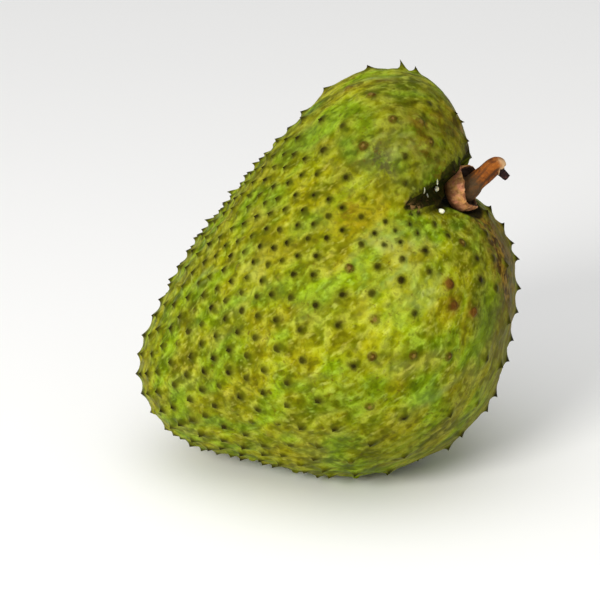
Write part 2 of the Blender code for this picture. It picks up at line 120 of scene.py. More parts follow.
FILL_POINTS = 70000          # points of the fine skin, before spines are cleared
PIT_FILL = 210000            # density near the pit and the crease


def unit(v):
    v = np.asarray(v, float)
    return v / np.linalg.norm(v)


def smooth_min(a, b, k):
    h = np.maximum(k - np.abs(a - b), 0.0) / k
    return np.minimum(a, b) - h * h * k * 0.25


def smooth_max(a, b, k):
    return -smooth_min(-a, -b, k)


def step(a, b, x):
    t = np.clip((x - a) / (b - a), 0, 1)
    return t * t * (3 - 2 * t)


def round_cone(p, a, b, stretch):
    q = p / np.array((1.0, stretch, 1.0))
    pa = np.array((a[0], a[1] / stretch, a[2]))
    pb = np.array((b[0], b[1] / stretch, b[2]))
    ba = pb - pa
    l2 = ba @ ba
    rr = a[3] - b[3]
    a2 = l2 - rr * rr
    il2 = 1.0 / l2
    w = q - pa
    y = (w * ba).sum(1)
    z = y - l2
    x2 = ((w * l2 - y[:, None] * ba) ** 2).sum(1)
    y2 = y * y * l2
    z2 = z * z * l2
    k = np.sign(rr) * rr * rr * x2
    d = (np.sqrt(x2 * a2 * il2) + y * rr) * il2 - a[3]
    d = np.where(np.sign(y) * a2 * y2 < k, np.sqrt(x2 + y2) * il2 - a[3], d)
    return np.where(np.sign(z) * a2 * z2 > k, np.sqrt(x2 + z2) * il2 - b[3], d)


def lobes(p):
    upper = round_cone(p, UPPER, TIP, WIDE_UPPER)
    lower = round_cone(p, LOWER, TIP, WIDE_LOWER)
    right = round_cone(p, RIGHT, LOWER, WIDE_RIGHT)
    q = (p - np.array(BELLY[:3])) / np.array(BELLY_STRETCH)
    belly = np.sqrt((q * q).sum(1)) - BELLY[3]
    return upper, smooth_min(smooth_min(lower, right, 0.02), belly, 0.02)


def crease_mask(p):
    upper, lower = lobes(p)
    reach = np.sqrt(((p - np.array(CLEFT)) ** 2).sum(1))
    return np.exp(-((upper - lower + CREASE_SHIFT) / CREASE_WIDTH) ** 2), reach


def fold_distance(p):
    return np.minimum(round_cone(p, FOLD[0], FOLD[1], 1.0), round_cone(p, FOLD[1], FOLD[2], 1.0))


def skin(p):
    upper, lower = lobes(p)
    reach = np.sqrt(((p - np.array(CLEFT)) ** 2).sum(1))
    f = smooth_min(lower, upper, 0.003 + 0.021 * np.clip((reach - 0.014) / 0.058, 0, 1))
    crease = np.exp(-((upper - lower + CREASE_SHIFT) / CREASE_WIDTH) ** 2)
    f = f + CREASE_DEPTH * crease * np.exp(-(reach / CREASE_REACH) ** 2)
    for x, y, z, height, size in SWELLS:
        d2 = ((p - np.array((x, y, z))) ** 2).sum(1)
        f = f - height * np.exp(-d2 / size ** 2)
    w = p / UNDULATION_SIZE
    f = f - UNDULATION * (np.sin(w[:, 0] + 1.3 * w[:, 1]) * np.sin(1.1 * w[:, 2] + 0.7)
                          + 0.6 * np.sin(2.3 * w[:, 1] - 1.7 * w[:, 2] + 1.9 * w[:, 0]))
    axis = unit(SEAT_AXIS)
    q = p - np.array(SEAT)
    up = q @ axis
    out = np.sqrt(np.maximum((q * q).sum(1) - up * up, 0.0))
    wall = (out - PIT_RADIUS - PIT_FLARE * up) / math.hypot(1.0, PIT_FLARE)
    f = smooth_max(f, -smooth_max(-up, wall, 0.002), PIT_BLEND)
    return smooth_max(f, -fold_distance(p), FOLD_BLEND)


def skin_on_table(p):
    """The skin with its flat spot rounded into it."""
    return smooth_max(skin(p), -p[:, 2], 0.0016)


def reach_of(d, field):
    lo = np.full(len(d), 0.010)
    hi = np.full(len(d), 0.130)
    for _ in range(30):
        mid = (lo + hi) / 2
        out = field(np.array(CORE) + d * mid[:, None]) > 0
        hi = np.where(out, mid, hi)
        lo = np.where(out, lo, mid)
    r = (lo + hi) / 2
    floor = np.where(d[:, 2] < -0.2, -CORE[2] / np.minimum(d[:, 2], -0.2), 1.0)
    return np.minimum(r, floor)


def on_skin(d, field=skin):
    return np.array(CORE) + d * reach_of(d, field)[:, None]


def normals(p, field=skin, e=0.0002):
    g = np.stack([field(p + np.eye(3)[i] * e) - field(p - np.eye(3)[i] * e)
                  for i in range(3)], 1)
    return g / np.maximum(np.linalg.norm(g, axis=1), 1e-12)[:, None]


def directions(p):
    v = p - np.array(CORE)
    return v / np.linalg.norm(v, axis=1)[:, None]


def spiral(n):
    i = np.arange(n) + 0.5
    z = 1 - 2 * i / n
    a = i * math.pi * (3 - math.sqrt(5))
    s = np.sqrt(1 - z * z)
    return np.stack((s * np.cos(a), s * np.sin(a), z), 1)


def flicker(i, k):
    v = math.sin(i * 12.9898 + k * 78.233 + 4.1) * 43758.5453
    return v - math.floor(v)


def lattice_noise(p, size, seed=0):
    """Smooth noise from -1 to 1 with bumps about `size` metres across."""
    q = p / size + seed * 17.31 + 200.0
    c = np.floor(q).astype(np.int64)
    f = q - c
    f = f * f * f * (f * (f * 6 - 15) + 10)
    total = np.zeros(len(p))
    for dx in (0, 1):
        for dy in (0, 1):
            for dz in (0, 1):
                n = ((c[:, 0] + dx) * 374761393 + (c[:, 1] + dy) * 668265263
                     + (c[:, 2] + dz) * 2147483647 + seed * 1274126177) & 0xFFFFFFFF
                n = ((n ^ (n >> 13)) * 1103515245 + 12345) & 0xFFFFFFFF
                n = ((n ^ (n >> 16)) * 69069 + 1) & 0xFFFFFFFF
                value = ((n >> 8) & 0xFFFF) / 32767.5 - 1.0
                w = ((f[:, 0] if dx else 1 - f[:, 0]) * (f[:, 1] if dy else 1 - f[:, 1])
                     * (f[:, 2] if dz else 1 - f[:, 2]))
                total += value * w
    return total


# ---------------------------------------------------------------- spine layout
def spacing(p):
    axis = np.array((math.cos(AXIS_TILT), 0.0, math.sin(AXIS_TILT)))
    t = (p - np.array(TIP[:3])) @ axis
    t = np.clip((t - 0.008) / 0.072, 0, 1)
    t = t * t * (3 - 2 * t)
    upper, lower = lobes(p)
    valley = np.exp(-((upper - lower) / 0.016) ** 2)
    s = SPACING_TIP + (SPACING_LOBE - SPACING_TIP) * t * (1 - 0.72 * valley)
    for x, y, z, gain, reach in DENSE_SPOTS:
        for side in (-1, 1):
            d2 = ((p - np.array((x, side * y, z))) ** 2).sum(1)
            s = s - gain * np.exp(-d2 / reach ** 2)
    return np.maximum(s, SPACING_LEAST)


def sighted(across, up, surface=skin):
    c, s = math.cos(SIGHT_DROP), math.sin(SIGHT_DROP)
    eye = np.array(SIGHT_TARGET) + SIGHT_RANGE * np.array((0.0, -c, s))
    aim = np.array(SIGHT_TARGET) + np.array((across, up * s, up * c)) / 1000.0
    ray = unit(aim - eye)
    t = np.linspace(SIGHT_RANGE - 0.11, SIGHT_RANGE + 0.06, 681)
    f = surface(eye + ray * t[:, None])
    inside = np.nonzero(f < 0)[0]
    k = inside[0] if len(inside) else int(f.argmin())
    return eye + ray * t[k]


def lay_out_spines():
    feet = []
    heights = []
    for across, up, height in SET_OUT:
        d = unit(sighted(across, up) - np.array(CORE))
        feet.append(on_skin(d[None])[0])
        whole = height > BROKEN_BELOW
        heights.append(0.50 * height / 1000.0 if whole else STUB_HEIGHT)
    free = on_skin(spiral(9000))
    axis = np.array((math.cos(AXIS_TILT), 0.0, math.sin(AXIS_TILT)))
    free = free[np.argsort((free - np.array(TIP[:3])) @ axis, kind="stable")]
    gap = spacing(free)
    seat = np.array(SEAT)
    for i, p in enumerate(free):
        if p[2] < 0.0035 or np.linalg.norm(p - seat) < 0.0155:
            continue
        near = ((np.array(feet) - p) ** 2).sum(1).min()
        if near < gap[i] ** 2:
            continue
        n = len(feet)
        feet.append(p)
        grow = (gap[i] - 0.0055) / 0.010
        height = (0.0012 + 0.0006 * grow) * (0.75 + 0.5 * flicker(n, 1))
        if flicker(n, 2) < 0.10:
            height = STUB_HEIGHT
        heights.append(max(height, STUB_HEIGHT))
    return np.array(feet), np.array(heights)


def leaning(feet, normal):
    to_tip = np.array(TIP[:3]) - feet
    along = to_tip - (to_tip * normal).sum(1)[:, None] * normal
    return along / np.maximum(np.linalg.norm(along, axis=1), 1e-6)[:, None]


# ---------------------------------------------------------------- the fine skin
def wrap(points, look, name):
    """One closed mesh through the points: Delaunay triangles of their directions."""
    pole = look[-1]
    x_axis = unit(np.cross(pole, (0.0, 1.0, 0.0)))
    y_axis = np.cross(x_axis, pole)
    rest = look[:-1]
    depth = 1 - rest @ pole
    u = (rest @ x_axis) / depth
    v = (rest @ y_axis) / depth
    flat = [Vector(uv) for uv in zip(u.tolist(), v.tolist())]
    result = delaunay_2d_cdt(flat, [], [], 0, 1e-9)
    faces = np.array([tuple(f) for f in result[2]], dtype=np.int64)
    n = len(points)
    edge = np.concatenate((faces[:, (0, 1)], faces[:, (1, 2)], faces[:, (2, 0)]))
    forward = edge[:, 0] * n + edge[:, 1]
    backward = edge[:, 1] * n + edge[:, 0]
    rim = edge[~np.isin(forward, backward)]
    cap = np.stack((rim[:, 1], rim[:, 0], np.full(len(rim), n - 1)), 1)
    faces = np.concatenate((faces, cap))
    used = np.zeros(n, bool)
    used[faces.ravel()] = True
    if not used.all():
        new = np.cumsum(used) - 1
        faces = new[faces]
        points = points[used]
    p = points[faces]
    volume = (p[:, 0] * np.cross(p[:, 1], p[:, 2])).sum()
    if volume < 0:
        faces = faces[:, ::-1]
    mesh = bpy.data.meshes.new(name)
    mesh.vertices.add(len(points))
    mesh.vertices.foreach_set("co", points.astype(np.float32).ravel())
    mesh.loops.add(len(faces) * 3)
    mesh.loops.foreach_set("vertex_index", faces.astype(np.int32).ravel())
    mesh.polygons.add(len(faces))
    mesh.polygons.foreach_set("loop_start", np.arange(0, len(faces) * 3, 3, dtype=np.int32))
    mesh.update(calc_edges=True)
    mesh.validate()
    mesh.shade_smooth()
    return mesh, used


def attribute(mesh, name, values):
    layer = mesh.attributes.new(name, "FLOAT", "POINT")
    layer.data.foreach_set("value", np.ascontiguousarray(values, dtype=np.float32))


RINGS = ((0.07, 6), (0.17, 7), (0.31, 8), (0.50, 9), (0.73, 12), (0.98, 15))


def make_fruit():
    feet, heights = lay_out_spines()
    n_feet = normals(feet)
    along = leaning(feet, n_feet)
    gap = spacing(feet)
    cad_tips = feet + (n_feet + LEAN * along) * (heights / math.hypot(1, LEAN))[:, None]
    keep = cad_tips[:, 2] > 0.0008
    marked = int(keep[:len(SET_OUT)].sum())
    feet, heights, n_feet, along, gap = (v[keep] for v in (feet, heights, n_feet, along, gap))
    broken = heights < 1.01 * STUB_HEIGHT
    apart = np.sqrt(((feet[:, None] - feet[None]) ** 2).sum(2))
    np.fill_diagonal(apart, 1.0)
    base = np.clip(0.47 * np.minimum(gap, apart.min(1)), 0.0020, 0.0034)
    base = np.where(broken, np.minimum(base, np.where(np.arange(len(base)) < marked, 0.0024, 0.0018)), base)

    # points: rings around each spine, then an even fill
    rings = []
    for i in range(len(feet)):
        n = Vector(n_feet[i])
        u = n.orthogonal().normalized()
        w = np.array(n.cross(u))
        u = np.array(u)
        for j, (r, count) in enumerate(RINGS):
            turn = 2 * math.pi * (flicker(i, 3) + 0.37 * j)
            a = turn + 2 * math.pi * np.arange(count) / count
            rings.append(feet[i] + base[i] * r * (np.cos(a)[:, None] * u + np.sin(a)[:, None] * w))
    rings = np.concatenate(rings)
    ring_dirs = directions(rings)

    even = spiral(FILL_POINTS)
    dense = spiral(PIT_FILL)
    seat = np.array(SEAT)
    even_p = on_skin(even, skin_on_table)
    dense_d = dense[(dense @ unit(seat - np.array(CORE))) > math.cos(0.62)]
    dense_p = on_skin(dense_d, skin_on_table)

    def tight(p):
        fold, reach = crease_mask(p)
        return ((np.linalg.norm(p - seat, axis=1) < 0.020)
                | (fold_distance(p) < 0.006) | ((fold > 0.10) & (reach < 0.042)))
    fill = np.concatenate((even_p[~tight(even_p)], dense_p[tight(dense_p)]))
    clear = np.ones(len(fill), bool)
    for start in range(0, len(fill), 6000):
        part = fill[start:start + 6000]
        d = np.sqrt(((part[:, None] - feet[None]) ** 2).sum(2))
        clear[start:start + 6000] = (d > base[None] * 1.12).all(1)
    fill = fill[clear]
    fill_dirs = directions(fill)

    look = np.concatenate((fill_dirs, ring_dirs, directions(feet), np.array(((0.16, 0.0, -1.0),))))
    look /= np.linalg.norm(look, axis=1)[:, None]
    p = on_skin(look, skin_on_table)
    n = normals(p, skin_on_table, 0.0003)

    # nearest spine and second nearest, for the spines' own relief and the areoles
    first = np.zeros(len(p), np.int64)
    d1 = np.zeros(len(p))
    d2 = np.zeros(len(p))
    for start in range(0, len(p), 6000):
        part = p[start:start + 6000]
        d = np.sqrt(((part[:, None] - feet[None]) ** 2).sum(2))
        two = np.argpartition(d, 1, axis=1)[:, :2]
        dd = np.take_along_axis(d, two, 1)
        order = np.argsort(dd, axis=1)
        two = np.take_along_axis(two, order, 1)
        dd = np.take_along_axis(dd, order, 1)
        first[start:start + 6000] = two[:, 0]
        d1[start:start + 6000] = dd[:, 0]
        d2[start:start + 6000] = dd[:, 1]
    t = d1 / base[first]
    h = heights[first]
    lift = step(0.0004, 0.0045, p[:, 2])          # nothing swells into the table
    sound = ~broken[first]

    warp = 1 + 0.10 * lattice_noise(p, 0.0022, 8)
    tw = t * warp
    rise = 0.72 * np.clip(1 - tw, 0, 1) ** 1.7 + 0.28 * np.clip(1 - tw / 0.45, 0, 1) ** 1.3
    tall = h * 1.10
    spine = np.where(sound, rise, 0.0)
    stub_h = 0.0007 + 0.0004 * np.array([flicker(i, 5) for i in range(len(feet))])[first]
    stub = np.where(sound, 0.0, 1 - step(0.30, 1.0, t))
    crater = np.where(sound, 0.0, np.exp(-((d1 / base[first]) / 0.36) ** 2))
    bulge = np.exp(-(d1 / (0.42 * gap[first])) ** 2)
    groove = np.exp(-((d2 - d1) / 0.0011) ** 2) * step(0.0015, 0.0040, d1)
    fold, reach = crease_mask(p)
    crevice = fold * np.exp(-(reach / 0.034) ** 2)
    near_seat = np.linalg.norm(p - seat, axis=1)
    calm = step(0.008, 0.016, near_seat)

    relief = (0.00042 * bulge * np.clip(gap[first] / 0.009, 0.7, 1.4)
              - 0.00016 * groove * calm
              + 0.00022 * lattice_noise(p, 0.0085, 1)
              + 0.00013 * lattice_noise(p, 0.0041, 2)
              + 0.00008 * lattice_noise(p, 0.0023, 3) * (1 - np.clip(spine * 3, 0, 1)))
    scurf = crevice * calm * (0.00045 * lattice_noise(p, 0.0026, 4) + 0.00030 * lattice_noise(p, 0.0015, 5))
    flat_seat = step(0.0074, 0.0092, near_seat)
    move = n * (relief * lift * calm + scurf)[:, None] * flat_seat[:, None]
    wobble = 1 + 0.12 * lattice_noise(p, 0.0016, 6)
    move += n_feet[first] * (tall * spine * lift * wobble * flat_seat)[:, None]
    move += along[first] * (tall * LEAN * 1.15 * spine ** 1.5 * lift * flat_seat)[:, None]
    move += n_feet[first] * ((stub * stub_h - 0.00030 * crater) * lift * flat_seat)[:, None]
    q = p + move
    q[:, 2] = np.maximum(q[:, 2], 0.0)

    mesh, used = wrap(q, look, "fruit_skin_fine")
    attribute(mesh, "spine", spine[used])
    attribute(mesh, "stub", (stub * (t < 1.3))[used])
    attribute(mesh, "crater", crater[used])
    attribute(mesh, "near_spine", np.exp(-(np.clip(t - 0.35, 0, 9) / 0.55) ** 2)[used])
    attribute(mesh, "areole", bulge[used])
    attribute(mesh, "groove", (groove * calm)[used])
    inside_fold = np.exp(-(np.clip(fold_distance(p), 0, 1) / 0.0012) ** 2)
    attribute(mesh, "crevice", np.maximum(crevice, inside_fold)[used])
    axis = unit(SEAT_AXIS)
    up_seat = (p - seat) @ axis
    out_seat = np.sqrt(np.maximum(((p - seat) ** 2).sum(1) - up_seat ** 2, 0))
    wall = (out_seat - PIT_RADIUS - PIT_FLARE * up_seat) / math.hypot(1, PIT_FLARE)
    in_pit = np.where(up_seat > -0.002, 1 - step(0.0002, 0.0034, wall), 0.0)
    # a dark patch in the cleft behind the calyx: painted shade
    cleft = np.linalg.norm(p - sighted(63.8, 55.8), axis=1)
    in_pit = np.maximum(in_pit, 0.85 * np.exp(-(cleft / 0.0060) ** 2))
    attribute(mesh, "pit", in_pit[used])
    for name, spots in STAINS_LIGHT_AND_SHADE.items():
        total = np.zeros(len(p))
        for across, up, size, strength in spots:
            c = sighted(across, up)
            total += strength * np.exp(-((p - c) ** 2).sum(1) / (size / 1000.0) ** 2)
        for x, y, z, size, strength in ROUND_STAINS_AND_SHADE.get(name, ()):
            total += strength * np.exp(-((p - np.array((x, y, z)) / 1000.0) ** 2).sum(1) / (size / 1000.0) ** 2)
        attribute(mesh, name, np.clip(total, 0, 1)[used])
    tone = np.array([flicker(i, 7) for i in range(len(feet))])[first]
    attribute(mesh, "tone", tone[used])
    plain = np.array([1.0 if i < marked else 0.30 for i in range(len(feet))])[first]
    attribute(mesh, "plain", plain[used])
    sore = np.zeros(len(p))
    for across, up in SORES:
        sore = np.maximum(sore, np.exp(-((p - sighted(across, up)) ** 2).sum(1) / 0.0024 ** 2))
    attribute(mesh, "sore", sore[used])
    grain = mesh.attributes.new("grain", "FLOAT_VECTOR", "POINT")
    grain.data.foreach_set("vector", grain_coordinates(p)[used].astype(np.float32).ravel())
    fruit = bpy.data.objects.new("fruit_skin_fine", mesh)
    scene.collection.objects.link(fruit)
    return fruit


# dried sap by the fold: across, up, radius mm, length over width, height off the skin
SAP = ((54.2, 33.8, 1.15, 1.0, 0.40), (51.8, 42.8, 1.05, 1.0, 0.75),
       (52.8, 45.4, 0.34, 3.4, 0.30), (47.8, 42.2, 0.32, 3.8, 0.30), (48.9, 40.2, 0.36, 2.6, 0.30),
       (46.0, 39.9, 0.34, 1.4, 0.30))


def grain_coordinates(p):
    """Coordinates whose noise comes out as streaks that run from stalk to tip."""
    start = np.array((0.046, -0.002, 0.108))
    axis = unit(np.array((-0.0485, 0.0, 0.0377)) - start)
    middle = start + axis * 0.055
    q = p - middle
    along = q @ axis
    side = q - along[:, None] * axis
    r = np.sqrt((side * side).sum(1))
    theta = np.arctan2(r, -along)
    u = unit(np.cross(axis, (0.0, 0.0, 1.0)))
    v = np.cross(axis, u)
    s = 0.30 + 0.70 * np.sin(theta)
    a = side @ u / np.maximum(r, 1e-6)
    b = side @ v / np.maximum(r, 1e-6)
    return np.stack((a * 0.050 * s, b * 0.050 * s, theta * 0.024), 1)


# reddish sores, worn flat: across, up
SORES = ((57.0, 6.0), (58.5, -2.0), (66.0, -4.5))

# Stains and tints of the skin, with patches of painted light, painted sheen and painted shade, each a soft patch:
# (across, up, size mm, strength)
STAINS_LIGHT_AND_SHADE = {
    # painted light: a pool of light painted on the front of the lower lobe
    "painted_light_patch": ((41.0, 17.0, 17.0, 1.0), (43.0, -8.0, 19.0, 0.75), (30.0, 0.0, 16.0, 0.5), (52.0, 26.0, 8.0, 0.6)),
    # darker skin on the upper lobe, and painted shade on the right side and under the upper lobe by the crease
    "deep_and_shade": ((46.0, 62.0, 20.0, 0.95), (20.0, 60.0, 15.0, 0.40), (62.0, 62.0, 13.0, 0.8), (40.0, 76.0, 14.0, 0.4), (77.0, 22.0, 9.0, 0.8),
             (73.0, -8.0, 14.0, 0.75), (82.0, -24.0, 12.0, 0.6), (-4.0, 58.0, 14.0, 0.35), (30.0, -62.0, 18.0, 0.6),
             (58.0, 50.0, 10.0, 0.5), (50.0, -52.0, 14.0, 0.4), (16.0, -48.0, 16.0, 0.4)),
    "yellowing": ((20.0, 32.0, 9.0, 0.9), (34.0, 34.0, 8.0, 0.5), (43.0, 17.0, 6.0, 0.5),
                  (-10.0, 18.0, 16.0, 0.35), (78.0, 26.0, 5.0, 0.6), (36.0, 4.0, 16.0, 0.4)),
    "russet": ((73.0, 30.0, 5.0, 0.9), (79.0, 20.0, 6.0, 0.9), (76.0, 10.0, 6.0, 0.7),
               (80.0, 0.0, 6.0, 0.6), (57.0, 6.0, 2.4, 0.9), (58.5, -2.0, 2.8, 1.0),
               (66.0, -4.5, 2.6, 0.9), (47.0, 60.0, 6.0, 0.5), (55.0, 48.0, 7.0, 0.6),
               (52.0, 70.0, 5.0, 0.5), (28.0, 85.0, 5.0, 0.4), (9.0, 84.0, 5.0, 0.4),
               (17.0, 34.0, 6.0, 0.6), (44.0, 69.0, 3.0, 0.7), (64.0, 60.0, 3.0, 0.9)),
    "bruise": ((32.0, 53.0, 4.6, 1.0), (29.5, 57.0, 3.6, 0.8), (35.5, 48.0, 3.0, 0.7),
               (83.0, -25.0, 6.0, 0.7), (30.0, -6.0, 5.0, 0.35), (19.0, 43.0, 3.4, 0.5)),
    # pale streaks of the skin, and at the front a painted sheen where the skin catches the light
    "paling_and_sheen": ((47.5, 1.0, 4.2, 0.9), (49.5, 4.0, 3.0, 0.7), (36.0, 58.0, 10.0, 0.4),
               (40.0, 14.0, 10.0, 0.4), (-18.0, 12.0, 8.0, 0.3)),
    # a painted shadow band beside and below the calyx, with some real grime at the crease's end
    "grime_and_shade": ((55.8, 47.7, 2.6, 1.0), (55.0, 44.6, 2.8, 1.0), (57.3, 50.0, 2.3, 1.0), (58.8, 51.5, 2.0, 0.9),
              (61.2, 53.0, 2.0, 0.8), (63.8, 54.0, 2.2, 0.9), (65.0, 56.5, 2.2, 0.6), (52.6, 43.6, 2.4, 0.9),
              (50.0, 42.8, 2.2, 0.8), (47.6, 41.6, 2.2, 0.8), (44.4, 39.8, 2.0, 0.7), (41.8, 37.6, 1.8, 0.8),
              (40.6, 35.6, 1.3, 0.7), (42.6, 33.4, 1.2, 0.8), (45.6, 33.8, 1.3, 0.6), (54.8, 37.6, 1.4, 0.5),
              (66.5, 34.6, 2.2, 0.9), (69.0, 37.0, 2.2, 0.8), (62.5, 33.8, 1.4, 0.5),
              (66.5, 53.5, 2.2, 1.0), (67.2, 57.0, 2.4, 1.0), (66.8, 60.5, 2.2, 0.6), (58.5, 47.5, 2.4, 1.0),
              (60.2, 49.5, 2.4, 1.0), (57.2, 45.2, 2.2, 1.0), (53.5, 41.0, 2.4, 1.0), (51.0, 39.6, 2.2, 0.9),
              (55.2, 41.0, 2.0, 0.9)),
    "crust": ((42.6, 35.8, 1.7, 1.0), (45.4, 35.2, 1.6, 0.9), (40.9, 38.2, 1.0, 0.8), (54.9, 39.0, 1.6, 0.9),
              (56.0, 42.4, 1.2, 0.6), (48.6, 38.6, 1.2, 0.5)),
    "scorch": ((69.0, 31.0, 5.0, 0.9), (73.0, 25.5, 6.0, 0.9), (76.0, 19.0, 7.0, 0.9), (78.0, 10.0, 7.0, 0.8),
               (80.0, 1.0, 7.0, 0.6), (79.0, 24.0, 10.0, 0.7), (82.5, 9.0, 10.0, 0.6), (82.0, -10.0, 8.0, 0.5),
               (77.0, -34.0, 8.0, 0.4), (62.0, 64.0, 6.0, 0.7), (60.0, 70.0, 6.0, 0.5), (56.0, 76.0, 5.0, 0.4),
               (57.0, 6.0, 1.8, 1.0), (58.5, -2.0, 2.6, 1.2), (66.0, -4.5, 2.6, 1.2), (47.0, 67.0, 2.6, 0.6),
               (24.0, 59.5, 2.2, 0.5), (28.0, 78.5, 2.0, 0.5), (19.5, 80.5, 2.4, 0.5)),
    # painted sheen: pale patches where the front and the left flank catch the light
    "painted_sheen": ((34.0, 18.0, 13.0, 1.0), (46.0, 6.0, 12.0, 0.8), (-34.0, 14.0, 13.0, 1.0), (40.0, 86.0, 14.0, 1.0),
               (25.0, 84.0, 12.0, 0.8), (54.0, -36.0, 10.0, 0.6), (-26.0, 40.0, 12.0, 0.5), (0.0, 62.0, 12.0, 0.4)),
    # painted shade: the right side of the fruit darkened where less light reaches it
    "shade_side": ((86.0, -14.0, 22.0, 0.9), (84.0, 14.0, 16.0, 0.8), (66.0, 74.0, 16.0, 0.7),
                   (80.0, -36.0, 14.0, 0.6), (72.0, 32.0, 9.0, 0.7), (52.0, -62.0, 12.0, 0.5)),
}
ROUND_STAINS_AND_SHADE = {
    "yellowing": ((-20.0, 44.0, 96.0, 18.0, 0.5), (20.0, 60.0, 60.0, 14.0, 0.4)),
    "russet": ((50.0, 30.0, 100.0, 10.0, 0.8), (-62.0, 4.0, 30.0, 9.0, 0.5), (10.0, 40.0, 142.0, 10.0, 0.5),
               (40.0, 50.0, 40.0, 8.0, 0.6)),
    "bruise": ((10.0, 62.0, 80.0, 6.0, 0.8), (-30.0, 40.0, 60.0, 5.0, 0.6)),
    # painted shade on the right side here too
    "shade_side": ((66.0, -14.0, 62.0, 26.0, 0.9), (62.0, -10.0, 98.0, 16.0, 0.8), (52.0, -22.0, 22.0, 18.0, 0.5)),
}



def make_sap():
    """Small set drops, each a closed blob standing on the skin."""
    bm = bmesh.new()
    for k, (across, up, size, long, proud) in enumerate(SAP):
        c = sighted(across, up)
        n = Vector(normals(c[None])[0])
        r = size / 1000.0
        made = bmesh.ops.create_icosphere(bm, subdivisions=4, radius=1.0)
        down = (Vector((0.12, 0.0, -1.0)) - n * n.dot(Vector((0.12, 0.0, -1.0)))).normalized()
        side = n.cross(down)
        for v in made["verts"]:
            q = v.co.copy()
            lump = 1 + 0.07 * math.sin(3 * q.x + 2 * k) + 0.05 * math.sin(4 * q.y + q.z * 2 + k)
            fat = r * lump * (1 + 0.25 * q.x * (long > 1.5))
            v.co = (Vector(c) + n * (r * proud) + down * (q.x * r * long * lump)
                    + side * (q.y * fat * 0.94) + n * (q.z * fat * 0.80))
    mesh = bpy.data.meshes.new("sap_beads")
    bm.to_mesh(mesh)
    bm.free()
    each = len(mesh.vertices) // len(SAP)
    attribute(mesh, "drip", np.repeat([1.0 if drop[3] > 1.0 else 0.0 for drop in SAP], each))
    mesh.shade_smooth()
    beads = bpy.data.objects.new("sap_beads", mesh)
    scene.collection.objects.link(beads)
    return beads


# =====================================================================  camera
target = Vector(SIGHT_TARGET)
camera_data = bpy.data.cameras.new("camera")
camera_data.sensor_width = 36.0
camera_data.lens = 124.8
camera = bpy.data.objects.new("camera", camera_data)
scene.collection.objects.link(camera)
camera.location = target + SIGHT_RANGE * Vector((0.0, -math.cos(SIGHT_DROP), math.sin(SIGHT_DROP)))
camera.rotation_euler = (target - camera.location).to_track_quat("-Z", "Y").to_euler()
scene.camera = camera


# =====================================================================  nodes
def rgb(r, g, b):
    """sRGB 0-255 to linear."""
    out = []
    for v in (r, g, b):
        v = v / 255.0
        out.append(v / 12.92 if v <= 0.04045 else ((v + 0.055) / 1.055) ** 2.4)
    return (*out, 1.0)


class Shade:
    """A small helper around one material's node tree."""

    def __init__(self, name):
        self.material = bpy.data.materials.new(name)
        self.material.use_nodes = True
        self.tree = self.material.node_tree
        self.bsdf = self.tree.nodes["Principled BSDF"]
        self.coords = self.tree.nodes.new("ShaderNodeTexCoord").outputs["Object"]

    def link(self, source, socket):
        if isinstance(source, (int, float)):
            socket.default_value = source
        elif isinstance(source, tuple):
            socket.default_value = source
        else:
            self.tree.links.new(source, socket)

    def attr(self, name):
        node = self.tree.nodes.new("ShaderNodeAttribute")
        node.attribute_name = name
        return node.outputs["Fac"]

    def stretch(self, scale, rotation=(0, 0, 0), source=None):
        node = self.tree.nodes.new("ShaderNodeMapping")
        node.inputs["Scale"].default_value = scale
        node.inputs["Rotation"].default_value = rotation
        self.link(source or self.coords, node.inputs["Vector"])
        return node.outputs["Vector"]

    def noise(self, size, detail=2.0, rough=0.5, vector=None, warp=0.0):
        node = self.tree.nodes.new("ShaderNodeTexNoise")
        node.inputs["Scale"].default_value = 1.0 / size
        node.inputs["Detail"].default_value = detail
        node.inputs["Roughness"].default_value = rough
        node.inputs["Distortion"].default_value = warp
        self.link(vector or self.coords, node.inputs["Vector"])
        return node.outputs["Fac"]

    def voronoi(self, size, feature="F1", vector=None):
        node = self.tree.nodes.new("ShaderNodeTexVoronoi")
        node.feature = feature
        node.inputs["Scale"].default_value = 1.0 / size
        self.link(vector or self.coords, node.inputs["Vector"])
        return node.outputs["Distance"]

    def ramp(self, value, low, high, start=0.0, end=1.0):
        node = self.tree.nodes.new("ShaderNodeMapRange")
        node.interpolation_type = "SMOOTHSTEP"
        node.inputs["From Min"].default_value = low
        node.inputs["From Max"].default_value = high
        node.inputs["To Min"].default_value = start
        node.inputs["To Max"].default_value = end
        self.link(value, node.inputs["Value"])
        return node.outputs["Result"]

    def math(self, kind, a, b=0.0):
        node = self.tree.nodes.new("ShaderNodeMath")
        node.operation = kind
        self.link(a, node.inputs[0])
        self.link(b, node.inputs[1])
        return node.outputs[0]

    def mul(self, *values):
        out = values[0]
        for v in values[1:]:
            out = self.math("MULTIPLY", out, v)
        return out

    def add(self, *values):
        out = values[0]
        for v in values[1:]:
            out = self.math("ADD", out, v)
        return out

    def invert(self, value):
        return self.math("SUBTRACT", 1.0, value)

    def mix(self, factor, a, b, kind="MIX"):
        node = self.tree.nodes.new("ShaderNodeMix")
        node.data_type = "RGBA"
        node.blend_type = kind
        node.clamp_factor = True
        self.link(factor, node.inputs[0])
        self.link(a, node.inputs[6])
        self.link(b, node.inputs[7])
        return node.outputs[2]

    def bump(self, height, distance, strength=1.0, normal=None):
        node = self.tree.nodes.new("ShaderNodeBump")
        node.inputs["Strength"].default_value = strength
        node.inputs["Distance"].default_value = distance
        self.link(height, node.inputs["Height"])
        if normal is not None:
            self.link(normal, node.inputs["Normal"])
        return node.outputs["Normal"]

    def done(self, colour, roughness, normal=None):
        self.link(colour, self.bsdf.inputs["Base Color"])
        self.link(roughness, self.bsdf.inputs["Roughness"])
        if normal is not None:
            self.link(normal, self.bsdf.inputs["Normal"])
        return self.material


